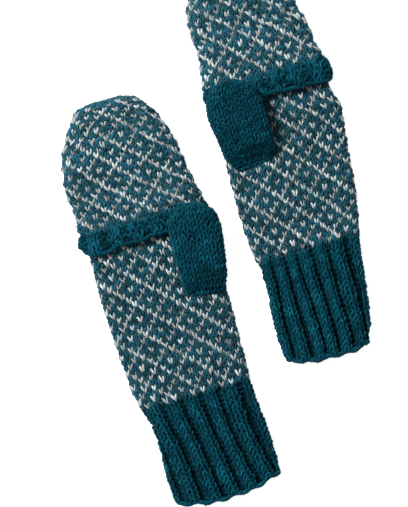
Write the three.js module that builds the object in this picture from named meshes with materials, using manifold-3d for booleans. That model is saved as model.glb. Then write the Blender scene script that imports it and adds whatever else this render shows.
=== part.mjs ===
// A pair of hand-knitted convertible (flip-top) mittens, lying flat, palm side up.
// Millimetres, +Z up, fingers towards +Y. The origin is the middle of the pair's
// footprint, on the surface they lie on. Each mitten is a ribbed cuff, a hand
// tube, a closed thumb, four half-finger sleeves and a flip cap with its hem
// band, joined to the back of the hand along a picked-up seam.
import * as THREE from 'three';
import { mergeVertices } from 'three/addons/utils/BufferGeometryUtils.js';
import Module from 'manifold-3d';

const wasm = await Module();
wasm.setup();

// ---- driving dimensions (mm) ----
const WALL = 3.0;            // knitted fabric thickness
const GAP = 0.3;             // clearance between neighbouring pieces
const HAND_HEIGHT = 12.2;    // flattened hand tube, both layers and the air between
const CAP_HEIGHT = 15.7;     // flip cap, which lies over the hand
const CUFF_LENGTH = 79.0;    // ribbed wrist
const HAND_END = 205.6;      // open end of the hand tube, from the wrist edge
const HINGE_Y = 208.0;       // line on the back where the cap turns
const CAP_START = 210.3;     // lower edge of the cap's own fabric
const MITTEN_LENGTH = 300.0; // wrist edge to cap tip
const HEM_WALL = 3.1;        // hem band thickness
const THUMB_HEIGHT = 11.0;   // flattened thumb tube
const THUMB_WALL = 2.4;
const SLEEVE_LENGTH = 29.0;  // half-finger sleeves
const SLEEVE_WALL = 2.0;
const ARC = 6;               // facets round each rolled edge
const FLAT = 4;              // facets across each flat side

const ORIGIN_X = 111.80;
const ORIGIN_Y = -207.25;

// Outline tables: [distance from the wrist edge, left edge, right edge].
const RIGHT = {
  name: 'right', wristY: -391.6,
  cuff: [[0, 18.4, 99.9], [20, 17.6, 100.0], [38, 17.8, 99.4], [60, 16.4, 97.6], [CUFF_LENGTH, 11.6, 98.2]],
  hand: [[CUFF_LENGTH + GAP, 11.5, 98.2], [105, 9.6, 98.9], [134, 8.2, 100.0], [160, 7.8, 100.0], [186, 8.8, 98.8], [HAND_END, 9.0, 98.6]],
  cap: [[CAP_START, 5.0, 103.0], [224, 7.0, 99.4], [243, 5.4, 96.6], [256, 7.6, 95.0], [267, 9.8, 91.8], [277, 14.6, 88.6], [287, 21.2, 82.0], [294, 27.6, 75.0], [298.4, 34.0, 68.5], [MITTEN_LENGTH, 40.0, 62.0]],
  hem: [[191.6, 4.4, 102.6], [200.5, 4.0, 103.6], [CAP_START - GAP, 4.6, 103.2]], hemSlope: 0.028,
  wristBow: -6.5, wristTilt: 0.02,
  thumb: { base: [85.2, 142.0], tip: [91.5, 209.6], half: [[0, 15.8], [0.15, 16.8], [0.37, 18.3], [0.65, 19.4], [0.8, 18.2], [0.88, 15.6], [0.95, 10.4], [1, 4.6]] },
};
const LEFT = {
  name: 'left', wristY: -316.4,
  cuff: [[0, 125.6, 190.0], [18, 124.2, 195.4], [37, 124.6, 198.8], [58, 127.0, 201.8], [CUFF_LENGTH, 125.4, 206.0]],
  hand: [[CUFF_LENGTH + GAP, 125.4, 206.1], [112, 123.2, 212.4], [136, 124.0, 214.8], [158, 124.8, 217.6], [171, 125.8, 219.0], [185, 127.0, 215.2], [HAND_END, 127.6, 214.2]],
  cap: [[CAP_START, 123.6, 216.8], [222, 125.6, 213.6], [236, 127.6, 212.6], [250, 126.6, 208.6], [262, 127.2, 205.4], [272, 129.2, 201.6], [282, 134.2, 196.6], [291, 141.6, 189.0], [297.4, 150.0, 181.0], [MITTEN_LENGTH, 156.5, 174.5]],
  hem: [[193.6, 123.2, 219.0], [201.5, 122.6, 219.6], [CAP_START - GAP, 123.2, 218.0]], hemSlope: -0.06,
  wristBow: -4.0, wristTilt: -0.06,
  thumb: { base: [145.6, 147.0], tip: [141.0, 213.0], half: [[0, 18.4], [0.14, 19.2], [0.4, 20.2], [0.62, 21.2], [0.78, 20.6], [0.88, 17.6], [0.95, 12.4], [1, 6.0]] },
};

const materials = {
  teal: { color: 0x12536a, roughness: 0.95, metalness: 0 },
  fleck: { color: 0x4f8190, roughness: 0.95, metalness: 0 },
};
const group = new THREE.Group();

// Closed indexed mesh from vertices and triangles, turned outward.
function solid(vertices, triangles) {
  const g = new THREE.BufferGeometry();
  g.setAttribute('position', new THREE.Float32BufferAttribute(vertices.flat(), 3));
  g.setIndex(triangles.flat());
  let volume = 0;
  for (const [a, b, c] of triangles) {
    const p = new THREE.Vector3(...vertices[a]), q = new THREE.Vector3(...vertices[b]), r = new THREE.Vector3(...vertices[c]);
    volume += p.dot(q.cross(r));
  }
  if (volume < 0) g.setIndex(triangles.map(([a, b, c]) => [a, c, b]).flat());
  return g;
}

function addPart(name, geometry, material) {
  geometry.deleteAttribute('uv');
  geometry.deleteAttribute('normal');
  geometry.computeVertexNormals();
  const mesh = new THREE.Mesh(geometry, new THREE.MeshStandardMaterial(materials[material]));
  mesh.name = name;
  group.add(mesh);
}

// One ring of a flattened tube: a flat bottom, a rolled right edge, a flat top
// and a rolled left edge, always with the same number of points.
function ring(xl, xr, z0, z1, place) {
  const r = Math.min((z1 - z0) / 2, (xr - xl) / 2);
  const zc = (z0 + z1) / 2;
  const points = [];
  for (let i = 0; i < FLAT; i++) points.push([xl + r + (xr - xl - 2 * r) * i / FLAT, zc - r]);
  for (let i = 0; i <= ARC; i++) {
    const a = -Math.PI / 2 + Math.PI * i / ARC;
    points.push([xr - r + r * Math.cos(a), zc + r * Math.sin(a)]);
  }
  for (let i = 1; i < FLAT; i++) points.push([xr - r - (xr - xl - 2 * r) * i / FLAT, zc + r]);
  for (let i = 0; i <= ARC; i++) {
    const a = Math.PI / 2 + Math.PI * i / ARC;
    if (i < ARC) points.push([xl + r + r * Math.cos(a), zc + r * Math.sin(a)]);
  }
  return points.map(([x, z]) => place(x, z));
}

// A tube wall between outer and inner rings. An end is open, or closed by its last rings.
function tube(outer, inner, closedEnd) {
  const n = outer[0].length;
  const vertices = [], triangles = [];
  const o0 = 0;
  for (const r of outer) vertices.push(...r);
  const i0 = vertices.length;
  for (const r of inner) vertices.push(...r);
  const skin = (base, count, flip) => {
    for (let s = 0; s + 1 < count; s++) {
      for (let k = 0; k < n; k++) {
        const a = base + s * n + k, b = base + s * n + (k + 1) % n, c = a + n, d = b + n;
        const t = flip ? [[a, c, b], [b, c, d]] : [[a, b, c], [b, d, c]];
        triangles.push(...t);
      }
    }
  };
  skin(o0, outer.length, false);
  skin(i0, inner.length, true);
  for (let k = 0; k < n; k++) {
    const a = o0 + k, b = o0 + (k + 1) % n, c = i0 + k, d = i0 + (k + 1) % n;
    triangles.push([a, c, b], [b, c, d]);
  }
  const oe = o0 + (outer.length - 1) * n, ie = i0 + (inner.length - 1) * n;
  if (closedEnd) {
    const fan = (base, flip) => {
      const c = [0, 1, 2].map(j => { let s = 0; for (let k = 0; k < n; k++) s += vertices[base + k][j]; return s / n; });
      const ci = vertices.length;
      vertices.push(c);
      for (let k = 0; k < n; k++) {
        const a = base + k, b = base + (k + 1) % n;
        triangles.push(flip ? [a, ci, b] : [a, b, ci]);
      }
    };
    fan(oe, false);
    fan(ie, true);
  } else {
    for (let k = 0; k < n; k++) {
      const a = oe + k, b = oe + (k + 1) % n, c = ie + k, d = ie + (k + 1) % n;
      triangles.push([a, b, c], [b, d, c]);
    }
  }
  return solid(vertices, triangles);
}

function toManifold(geometry) {
  const g = geometry.clone();
  g.deleteAttribute('normal');
  g.deleteAttribute('uv');
  const m = mergeVertices(g, 1e-4);
  return new wasm.Manifold(new wasm.Mesh({ numProp: 3, vertProperties: new Float32Array(m.attributes.position.array), triVerts: new Uint32Array(m.index.array) }));
}

function fromManifold(m) {
  const mesh = m.getMesh();
  const g = new THREE.BufferGeometry();
  g.setAttribute('position', new THREE.BufferAttribute(new Float32Array(mesh.vertProperties), 3));
  g.setIndex(new THREE.BufferAttribute(new Uint32Array(mesh.triVerts), 1));
  return g;
}

function boxSolid(x0, x1, y0, y1, z0, z1) {
  const g = new THREE.BoxGeometry(x1 - x0, y1 - y0, z1 - z0);
  g.translate((x0 + x1) / 2, (y0 + y1) / 2, (z0 + z1) / 2);
  return g;
}

function lerpTable(table, y, column) {
  if (y <= table[0][0]) return table[0][column];
  for (let i = 0; i + 1 < table.length; i++) {
    const a = table[i], b = table[i + 1];
    if (y <= b[0]) return a[column] + (b[column] - a[column]) * (y - a[0]) / (b[0] - a[0]);
  }
  return table[table.length - 1][column];
}

function buildMitten(M) {
  const X = x => x - ORIGIN_X;
  const Y = y => y + M.wristY - ORIGIN_Y;

  // Cuff: its lower edge bows out in the middle and settles back within 30 mm.
  const cuffRing = ([y, xl, xr], wall) => {
    const xc = (xl + xr) / 2, hw = (xr - xl) / 2;
    const fade = Math.max(0, 1 - y / 30);
    return ring(xl + wall, xr - wall, wall, HAND_HEIGHT - wall, (x, z) => {
      const u = (x - xc) / hw;
      return [X(x), Y(y + fade * (M.wristBow * (1 - u * u) + M.wristTilt * (x - xc))), z];
    });
  };
  addPart(`${M.name}_cuff`, tube(M.cuff.map(s => cuffRing(s, 0)), M.cuff.map(s => cuffRing(s, WALL)), false), 'teal');

  // Hand tube, with the slit in its palm that opens into the thumb.
  const plainRing = (height) => ([y, xl, xr], wall) => ring(xl + wall, xr - wall, wall, height - wall, (x, z) => [X(x), Y(y), z]);
  const handRing = plainRing(HAND_HEIGHT);
  const hand = tube(M.hand.map(s => handRing(s, 0)), M.hand.map(s => handRing(s, WALL)), false);
  const [bx, by] = M.thumb.base;
  const [tx, ty] = M.thumb.tip;
  const slit = [bx - 11.5, bx + 11.5, by + THUMB_WALL + 0.6, by + THUMB_WALL + 12.6];
  const slitBox = toManifold(boxSolid(X(slit[0]), X(slit[1]), Y(slit[2]), Y(slit[3]), HAND_HEIGHT - WALL - 2, HAND_HEIGHT + 3));
  addPart(`${M.name}_hand`, fromManifold(toManifold(hand).subtract(slitBox)), 'fleck');

  // Thumb: a closed tube that lies up the palm from the slit, rising over the cap's hem.
  const rise = 5.0;
  const zb = HAND_HEIGHT + GAP;
  const axis = [tx - bx, ty - by];
  const len = Math.hypot(...axis);
  const dir = [axis[0] / len, axis[1] / len];
  const thumbRing = (s, half, wall, lift = 0) => {
    const z0 = zb + rise * s + lift + wall, z1 = zb + rise * s + THUMB_HEIGHT - lift - wall;
    return ring(-half + wall, half - wall, z0, z1, (u, z) => {
      const v = s * len;
      return [X(bx + dir[0] * v + dir[1] * u), Y(by + dir[1] * v - dir[0] * u), z];
    });
  };
  const liftAt = s => (s < 0.86 ? 0 : 3.2 * ((s - 0.86) / 0.14) ** 2);
  const outer = M.thumb.half.map(([s, h]) => thumbRing(s, h, 0, liftAt(s)));
  const s0 = THUMB_WALL / len;
  const innerStations = M.thumb.half.filter(([s]) => s < 0.93).map(([s, h]) => [Math.max(s, s0), h]);
  const inner = innerStations.map(([s, h]) => thumbRing(s, h, THUMB_WALL));
  // The base is closed by its own wall; the mouth opens downward into the slit.
  const outerSolid = closedBothEnds(outer);
  const innerSolid = closedBothEnds(inner);
  const mouth = toManifold(boxSolid(X(slit[0]), X(slit[1]), Y(slit[2]), Y(slit[3]), zb - 2, zb + rise * 0.1 + THUMB_HEIGHT / 2));
  addPart(`${M.name}_thumb`, fromManifold(toManifold(outerSolid).subtract(toManifold(innerSolid)).subtract(mouth)), 'teal');

  // Cap: closed at the tip.
  const capTop = y => CAP_HEIGHT - 3.4 * Math.max(0, (y - 272) / 28) ** 2;
  const capRing = ([y, xl, xr], wall) => ring(xl + wall, xr - wall, wall, capTop(y) - wall, (x, z) => [X(x), Y(y), z]);
  const capInner = M.cap.filter(([y]) => y < 296).map(s => capRing(s, WALL));
  addPart(`${M.name}_cap`, tube(M.cap.map(s => capRing(s, 0)), capInner, true), 'fleck');

  // Hem band: over the palm and round both sides, open along the back.
  const hemRow = ([y, xl, xr], i) => {
    const r = CAP_HEIGHT / 2, zc = r, count = ARC + 1;
    const arc = (radius, side) => {
      const pts = [];
      for (let k = 0; k <= count; k++) {
        const a = -0.55 + (Math.PI / 2 + 0.55) * k / count;
        pts.push([radius * Math.cos(a), zc + radius * Math.sin(a)]);
      }
      return side > 0 ? pts.map(([c, z]) => [xr - r + c, z]) : pts.map(([c, z]) => [xl + r - c, z]).reverse();
    };
    const path = (radius) => {
      const right = arc(radius, 1), left = arc(radius, -1);
      const mid = [];
      for (let k = 1; k < FLAT; k++) mid.push([xr - r - (xr - xl - 2 * r) * k / FLAT, zc + radius]);
      return [...right, ...mid, ...left];
    };
    const xc = (xl + xr) / 2;
    const slant = i === 0 ? M.hemSlope : i === 1 ? M.hemSlope / 2 : 0;
    const place = ([x, z]) => [X(x), Y(y + slant * (x - xc)), z];
    return { outer: path(r).map(place), inner: path(r - HEM_WALL).map(place) };
  };
  const rows = M.hem.map(hemRow);
  {
    const n = rows[0].outer.length, loop = 2 * n;
    const vertices = [], triangles = [];
    for (const row of rows) vertices.push(...row.outer, ...row.inner.slice().reverse());
    for (let s = 0; s + 1 < rows.length; s++) {
      for (let k = 0; k < loop; k++) {
        const a = s * loop + k, b = s * loop + (k + 1) % loop, c = a + loop, d = b + loop;
        triangles.push([a, b, c], [b, d, c]);
      }
    }
    for (let k = 0; k + 1 < n; k++) {
      const a = k, b = k + 1, c = loop - 1 - k, d = loop - 2 - k;
      triangles.push([a, c, b], [b, c, d]);
      const e = (rows.length - 1) * loop;
      triangles.push([e + a, e + b, e + c], [e + b, e + d, e + c]);
    }
    addPart(`${M.name}_cap_hem`, solid(vertices, triangles), 'teal');
  }

  // Seam on the back: the picked-up row between the hand's back and the cap.
  const seamL = Math.max(lerpTable(M.hand, HAND_END, 1), M.cap[0][1]) + 9, seamR = Math.min(lerpTable(M.hand, HAND_END, 2), M.cap[0][2]) - 9;
  addPart(`${M.name}_cap_seam`, boxSolid(X(seamL), X(seamR), Y(HAND_END + GAP), Y(CAP_START - GAP), 0, WALL), 'teal');

  // Half-finger sleeves inside the cap, index finger on the thumb's side.
  const capL = lerpTable(M.cap, CAP_START, 1), capR = lerpTable(M.cap, CAP_START, 2);
  const inL = Math.max(capL, lerpTable(M.cap, 240, 1)) + WALL + 1.6, inR = Math.min(capR, lerpTable(M.cap, 240, 2)) - WALL - 1.6;
  const width = (inR - inL - 3 * 0.6) / 4;
  const fingers = M.name === 'right' ? ['little', 'ring', 'middle', 'index'] : ['index', 'middle', 'ring', 'little'];
  fingers.forEach((finger, i) => {
    const xl = inL + i * (width + 0.6), xr = xl + width;
    const length = SLEEVE_LENGTH + { index: -1, middle: 2, ring: 0, little: -5 }[finger];
    const stations = [0, 0.5, 1].map(t => [CAP_START + GAP * 0 + 0.4 + t * length, xl, xr]);
    const z0 = WALL + 0.4, z1 = CAP_HEIGHT - WALL - 0.5;
    const sleeveRing = ([y, a, b], wall) => ring(a + wall, b - wall, z0 + wall, z1 - wall, (x, z) => [X(x), Y(y), z]);
    addPart(`${M.name}_${finger}_sleeve`, tube(stations.map(s => sleeveRing(s, 0)), stations.map(s => sleeveRing(s, SLEEVE_WALL)), false), 'teal');
  });
}

// A loft closed by flat fans at both ends.
function closedBothEnds(rings) {
  const n = rings[0].length;
  const vertices = rings.flat(), triangles = [];
  for (let s = 0; s + 1 < rings.length; s++) {
    for (let k = 0; k < n; k++) {
      const a = s * n + k, b = s * n + (k + 1) % n, c = a + n, d = b + n;
      triangles.push([a, b, c], [b, d, c]);
    }
  }
  for (const [base, flip] of [[0, true], [(rings.length - 1) * n, false]]) {
    const c = [0, 1, 2].map(j => { let s = 0; for (let k = 0; k < n; k++) s += vertices[base + k][j]; return s / n; });
    const ci = vertices.length;
    vertices.push(c);
    for (let k = 0; k < n; k++) {
      const a = base + k, b = base + (k + 1) % n;
      triangles.push(flip ? [a, ci, b] : [a, b, ci]);
    }
  }
  return solid(vertices, triangles);
}

buildMitten(RIGHT);
buildMitten(LEFT);

export default group;
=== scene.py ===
"""The pair of convertible flip-top mittens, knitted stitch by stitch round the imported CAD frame.

Every visible part is real yarn: each stitch is a loop of tube laid on the part's surface. Millimetres are used
inside the script and turned into metres when a mesh is made.
"""

import math

import bpy
import numpy as np
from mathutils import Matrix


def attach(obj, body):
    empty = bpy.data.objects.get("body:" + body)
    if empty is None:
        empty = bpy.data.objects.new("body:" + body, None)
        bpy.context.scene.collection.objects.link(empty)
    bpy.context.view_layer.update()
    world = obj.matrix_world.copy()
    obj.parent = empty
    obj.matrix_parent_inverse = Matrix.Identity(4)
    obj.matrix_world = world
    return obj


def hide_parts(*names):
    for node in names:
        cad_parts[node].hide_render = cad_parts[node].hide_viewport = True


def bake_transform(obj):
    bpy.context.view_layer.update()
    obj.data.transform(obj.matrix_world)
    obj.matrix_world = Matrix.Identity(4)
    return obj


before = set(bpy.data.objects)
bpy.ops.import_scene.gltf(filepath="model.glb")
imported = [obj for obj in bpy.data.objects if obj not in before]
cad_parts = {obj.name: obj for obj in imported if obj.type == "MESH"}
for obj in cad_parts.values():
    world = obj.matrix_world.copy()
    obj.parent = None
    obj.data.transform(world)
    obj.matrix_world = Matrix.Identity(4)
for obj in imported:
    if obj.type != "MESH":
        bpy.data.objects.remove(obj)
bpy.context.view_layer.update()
MM = 0.001
OX, OY = 111.80, -207.25  # sheet coordinates to the row frame: x - OX, y - OY

# ---------------------------------------------------------------------------------------------------------------
# sizes, the same ones as the CAD
# ---------------------------------------------------------------------------------------------------------------
MITTENS = {
    "right": dict(
        wrist=-391.6,
        lower=[[0, 18.4, 99.9], [20, 17.6, 100.0], [38, 17.8, 99.4], [60, 16.4, 97.6], [79, 11.6, 98.2],
               [105, 9.6, 98.9], [134, 8.2, 100.0], [160, 7.8, 100.0], [186, 8.8, 98.8], [205.6, 9.0, 98.6]],
        cap=[[206.5, 7.2, 102.6], [210.3, 6.6, 102.6], [216, 6.0, 101.4], [224, 7.0, 99.4], [243, 5.4, 96.6], [256, 7.6, 95.0],
             [267, 9.8, 91.8], [277, 14.6, 88.6], [287, 20.8, 83.2], [294, 26.0, 77.4], [298.4, 31.0, 71.5],
             [300, 37.0, 65.0]],
        hem=[[191.6, 4.4, 102.6], [200.5, 4.0, 103.6], [210.0, 4.6, 103.2]],
        slope=0.012, bow=-6.5, tilt=0.02, hem_lift=1.9, hem_in=(2.4, 1.0), corner=4.5, hem_droop=-1.6,
        thumb=dict(base=(85.2, 142.0), tip=(91.5, 209.6), corner=(8.5, 5.5),
                   half=[[0, 15.8], [0.15, 16.8], [0.37, 18.3], [0.65, 19.4], [0.8, 18.2], [0.88, 15.6],
                         [0.95, 10.4], [1, 4.6]]),
        sleeves=[("little", 24.0), ("ring", 29.0), ("middle", 31.0), ("index", 28.0)],
        sleeve_x=10.25, sleeve_w=20.1,
        # chart position: centre of a stitch where two cream lines cross, stitch width and height, lean of the columns, slope of the rows
        palm=dict(x=43.8, y=144.15, w=3.90, h=3.93, lean=-0.024, slope=0.013, first=-16, last=15),
        top=dict(x=46.45, y=252.1, w=3.78, h=3.69, lean=0.08, slope=-0.026, first=-12),
        # the thumb's yarn is painted darker (painted shade), and its lowest rows lighter (amount, reach in mm), a
        # painted light against the shade where it rises from the palm
        ribs=12, thumb_stitches=15, thumb_row=3.83, thumb_painted_shade=0.93, thumb_base_painted_light=(0.45, 17.0),
        # where each rib starts across the front, at four heights above the wrist edge
        rib_y=[0.0, 16.6, 41.6, 66.6, 79.0],
        rib_x=[[26.5, 42.4, 57.2, 71.0, 85.4, 98.4], [25.4, 40.9, 55.0, 68.1, 81.2, 95.6],
               [23.6, 38.4, 51.7, 64.6, 76.2, 92.9], [19.4, 32.9, 47.4, 61.9, 74.2, 91.4],
               [17.4, 31.4, 46.4, 61.4, 74.4, 90.6]],
    ),
    "left": dict(
        wrist=-316.4,
        lower=[[0, 125.6, 190.0], [18, 124.2, 195.4], [37, 124.6, 198.8], [58, 127.0, 201.8], [79, 125.4, 206.0],
               [112, 123.2, 212.4], [136, 124.0, 214.8], [158, 124.8, 217.6], [171, 125.8, 219.0],
               [185, 127.0, 215.2], [205.6, 127.6, 214.2]],
        cap=[[206.5, 123.4, 217.2], [210.3, 123.6, 216.8], [222, 125.6, 213.6], [236, 127.6, 212.6],
             [250, 126.6, 208.6], [262, 127.2, 205.4], [272, 129.2, 201.6], [282, 134.2, 196.6],
             [291, 141.6, 189.0], [297.4, 150.0, 181.0], [300, 156.5, 174.5]],
        hem=[[193.6, 123.2, 219.0], [201.5, 122.6, 219.6], [210.0, 123.2, 218.0]],
        slope=-0.06, bow=-4.0, tilt=-0.06, hem_lift=0.6, hem_in=(1.0, 1.0), corner=2.5, hem_droop=0.0,
        thumb=dict(base=(145.6, 147.0), tip=(141.0, 213.0), corner=(11.0, 8.5),
                   half=[[0, 18.4], [0.14, 19.2], [0.4, 20.2], [0.62, 21.0], [0.78, 19.4], [0.88, 15.6],
                         [0.95, 10.0], [1, 4.4]]),
        sleeves=[("index", 28.0), ("middle", 31.0), ("ring", 29.0), ("little", 24.0)],
        sleeve_x=131.9, sleeve_w=18.3,
        palm=dict(x=191.2, y=132.55, w=3.80, h=3.88, lean=-0.005, slope=-0.055, first=-13, last=18),
        top=dict(x=171.4, y=236.9, w=3.80, h=3.90, lean=0.0, slope=-0.03, first=-8),
        # thumb painted darker and its base rows painted lighter, as on the right mitten: painted shade and painted
        # light
        ribs=12, thumb_stitches=17, thumb_row=3.4, thumb_painted_shade=0.80, thumb_base_painted_light=(0.50, 24.0),
        rib_y=[0.0, 16.4, 41.4, 66.4, 79.0],
        rib_x=[[125.6, 134.9, 148.6, 158.0, 168.2, 179.4, 189.6], [125.6, 135.2, 148.9, 158.6, 169.2, 180.4, 191.8],
               [125.8, 135.9, 148.2, 158.4, 169.0, 179.4, 194.6], [128.0, 138.0, 148.0, 156.9, 168.4, 180.8, 194.2],
               [128.4, 138.6, 148.2, 157.2, 169.0, 182.2, 196.0]],
    ),
}

# yarn
TEAL = np.array([0.0022, 0.060, 0.090])  # solid knit, linear
TEAL_MIX = np.array([0.012, 0.085, 0.122])  # the same yarn among the white, greyer with white fibre
CREAM = np.array([0.55, 0.61, 0.61])


def rng_for(name):
    return np.random.default_rng(sum((i + 1) * ord(ch) for i, ch in enumerate(name)) % (2**31))


def smooth(x):
    x = np.clip(x, 0.0, 1.0)
    return x * x * (3 - 2 * x)


def curve(table, y):
    """Smooth interpolation (cubic Hermite with monotone-ish slopes) of a table's columns at y."""
    t = np.array(table, float)
    k, vals = t[:, 0], t[:, 1:]
    d = np.diff(vals, axis=0) / np.diff(k)[:, None]
    m = np.zeros_like(vals)
    m[1:-1] = (d[:-1] + d[1:]) / 2
    m[0], m[-1] = d[0], d[-1]
    same = d[:-1] * d[1:] > 0
    lim = 2.5 * np.minimum(np.abs(d[:-1]), np.abs(d[1:]))
    m[1:-1] = np.where(same, np.sign(m[1:-1]) * np.minimum(np.abs(m[1:-1]), lim), m[1:-1] * 0.3)
    y = np.atleast_1d(np.asarray(y, float))
    i = np.clip(np.searchsorted(k, y) - 1, 0, len(k) - 2)
    h = (k[i + 1] - k[i])[:, None]
    s = ((y - k[i]) / (k[i + 1] - k[i]))[:, None]
    inside = np.clip(s, 0, 1)
    a, b = vals[i], vals[i + 1]
    ma, mb = m[i] * h, m[i + 1] * h
    r = (a * (2 * inside**3 - 3 * inside**2 + 1) + ma * (inside**3 - 2 * inside**2 + inside)
         + b * (-2 * inside**3 + 3 * inside**2) + mb * (inside**3 - inside**2))
    return r + (s - inside) * np.where(s < 0, ma, mb)


# ---------------------------------------------------------------------------------------------------------------
# surfaces: a closed tube, u once round (0 to .5 the front from left to right, .5 to 1 the back), v along it
# ---------------------------------------------------------------------------------------------------------------
K = 128


def ring(hw, zt, zb, pf=2.7, pb=4.2):
    """Cross-section sampled evenly by length, front then back. Also both lengths."""
    t = np.linspace(0, np.pi, 301)

    def half(z0, p):
        c, s = np.cos(t), np.sin(t)
        x = -hw * np.sign(c) * np.abs(c) ** (2 / p)
        z = z0 * np.abs(s) ** (2 / p)
        d = np.concatenate([[0], np.cumsum(np.hypot(np.diff(x), np.diff(z)))])
        q = np.linspace(0, d[-1], K + 1)
        return np.interp(q, d, x), np.interp(q, d, z), d[-1]

    xf, zf, lf = half(max(zt, 0.05), pf)
    xb, zr, lb = half(max(zb, 0.05), pb)
    return (np.concatenate([xf[:-1], xb[::-1][:-1]]), np.concatenate([zf[:-1], -zr[::-1][:-1]]), lf, lb)


class Tube:
    def __init__(self, points, lf, lb, v0=0.0, ref=0):
        """points (nv, 2K, 3); v is length along the front's middle line, and is v0 at row ref."""
        self.P = np.asarray(points, float)
        mid = self.P[:, K // 2]
        step = np.linalg.norm(np.diff(mid, axis=0), axis=1)
        self.v = np.concatenate([[0], np.cumsum(step)])
        self.v += v0 - self.v[ref]
        self.lf, self.lb = np.array(lf, float), np.array(lb, float)
        du = np.roll(self.P, -1, 1) - np.roll(self.P, 1, 1)
        dv = np.gradient(self.P, axis=0)
        n = np.cross(du, dv)
        for _ in range(2):
            n = n + 0.5 * (np.roll(n, 1, 1) + np.roll(n, -1, 1))
        self.N = n / np.maximum(np.linalg.norm(n, axis=2, keepdims=True), 1e-9)

    def at(self, u, v, n=0.0):
        nv, nu = self.P.shape[:2]
        uu = (np.asarray(u, float) % 1.0) * nu
        i = np.floor(uu).astype(int) % nu
        f = (uu - np.floor(uu))[..., None]
        j = np.interp(v, self.v, np.arange(nv))
        j0 = np.clip(np.floor(j).astype(int), 0, nv - 2)
        g = (j - j0)[..., None]
        i1 = (i + 1) % nu

        def mix(A):
            return (A[j0, i] * (1 - f) * (1 - g) + A[j0, i1] * f * (1 - g)
                    + A[j0 + 1, i] * (1 - f) * g + A[j0 + 1, i1] * f * g)

        p, m = mix(self.P), mix(self.N)
        m = m / np.maximum(np.linalg.norm(m, axis=-1, keepdims=True), 1e-9)
        return p + m * np.asarray(n, float)[..., None], m

    def front_u(self, v, x):
        """u on the front at each v where the tube's x is x."""
        nv = self.P.shape[0]
        j = np.interp(v, self.v, np.arange(nv))
        j0 = np.clip(np.floor(j).astype(int), 0, nv - 2)
        g = j - j0
        xs = self.P[j0, : K + 1, 0] * (1 - g) + self.P[j0 + 1, : K + 1, 0] * g
        return np.interp(x, xs, np.arange(K + 1) / (2 * K))


def wave(x, y, seed, amp):
    """Slow unevenness of a hand-knitted, laid-down surface."""
    r = np.random.default_rng(seed)
    out = 0
    for s in (60.0, 38.0, 23.0, 15.0):
        a, b, c = r.uniform(0, 2 * np.pi, 3)
        k = 2 * np.pi / s
        out = out + np.sin(k * (x * np.cos(a) + y * np.sin(a)) + b) * (s / 60.0) * np.sin(k * 0.7 * y + c)
    return out * amp


def lower_tube(side, m):
    """Cuff and hand: one surface from the wrist edge to the knuckles, sheet coordinates."""
    ys = np.arange(-5.0, 211.0, 1.0)
    out = curve(m["lower"], np.clip(ys, 0, 205.6))
    P, LF, LB = [], [], []
    for y, (xl, xr) in zip(ys, out):
        rag = min(1.0, abs(y - 79) / 10) * 0.28
        xl = xl + rag * (np.sin(y * 0.53 + 1.0) + 0.6 * np.sin(y * 1.07))
        xr = xr + rag * (np.sin(y * 0.47 + 2.2) + 0.6 * np.sin(y * 1.13 + 0.7))
        hw, xc = (xr - xl) / 2 - 1.7, (xr + xl) / 2
        cuff = smooth((86 - y) / 14)
        zt = 5.2 - 0.2 * cuff
        x, z, lf, lb = ring(hw, zt, 3.6, 2.7, 4.2)
        fade = max(0.0, 1 - y / 30) if y > 0 else 1.0
        yy = y + fade * (m["bow"] * (1 - (x / hw) ** 2) + m["tilt"] * x)
        if y < 34:
            yy = yy + max(0.0, 1 - y / 26) * (0.75 * np.sin(x * 0.45 + (2.0 if side == "left" else 0.3)) + 0.35 * np.sin(x * 0.21 + 1.0))
        bump = wave(x + xc, y + 0 * x, 5 if side == "right" else 9, 0.28)
        P.append(np.stack([x + xc - OX, yy + m["wrist"] - OY, 5.3 + z + np.where(z > 0, bump, 0)], 1))
        LF.append(lf)
        LB.append(lb)
    return Tube(P, LF, LB, v0=-5.0)


def cap_tube(side, m):
    y1, y2, top = 262.0, 290.0, 298.5
    ys = list(np.arange(201.0, y2, 1.0))
    phi = np.radians(np.arange(0.0, 84.1, 3.0))
    rows = [(y, 1.0) for y in ys] + [(y2 + (top - y2) * math.sin(p), math.cos(p)) for p in phi]
    P, LF, LB = [], [], []
    for y, f in rows:
        yo = y if y < y1 else y1 + (y - y1) * (300 - y1) / (top - y1)
        xl, xr = curve(m["cap"], min(yo, 300.0))[0]
        xl = xl + 0.55 * np.sin(y * 0.55 + 0.4) + 0.35 * np.sin(y * 1.21)
        xr = xr + 0.55 * np.sin(y * 0.49 + 3.0) + 0.35 * np.sin(y * 1.09 + 1.0)
        hw, xc = max((xr - xl) / 2 - 1.7, 2.0), (xr + xl) / 2
        low = smooth((y - 262) / 40)
        x, z, lf, lb = ring(hw, (7.5 - 1.5 * low) * max(f, 0.1), (4.8 - 1.2 * low) * max(f, 0.1), 2.6 - 0.2 * low, 3.6)
        bump = wave(x + xc, y + 0 * x, 21 if side == "right" else 33, 0.34) * f
        P.append(np.stack([x + xc - OX, y + m["wrist"] + 0 * x - OY, 6.5 - 0.8 * low + z + np.where(z > 0, bump, 0)], 1))
        LF.append(lf)
        LB.append(lb)
    return Tube(P, LF, LB, v0=201.0)


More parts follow.
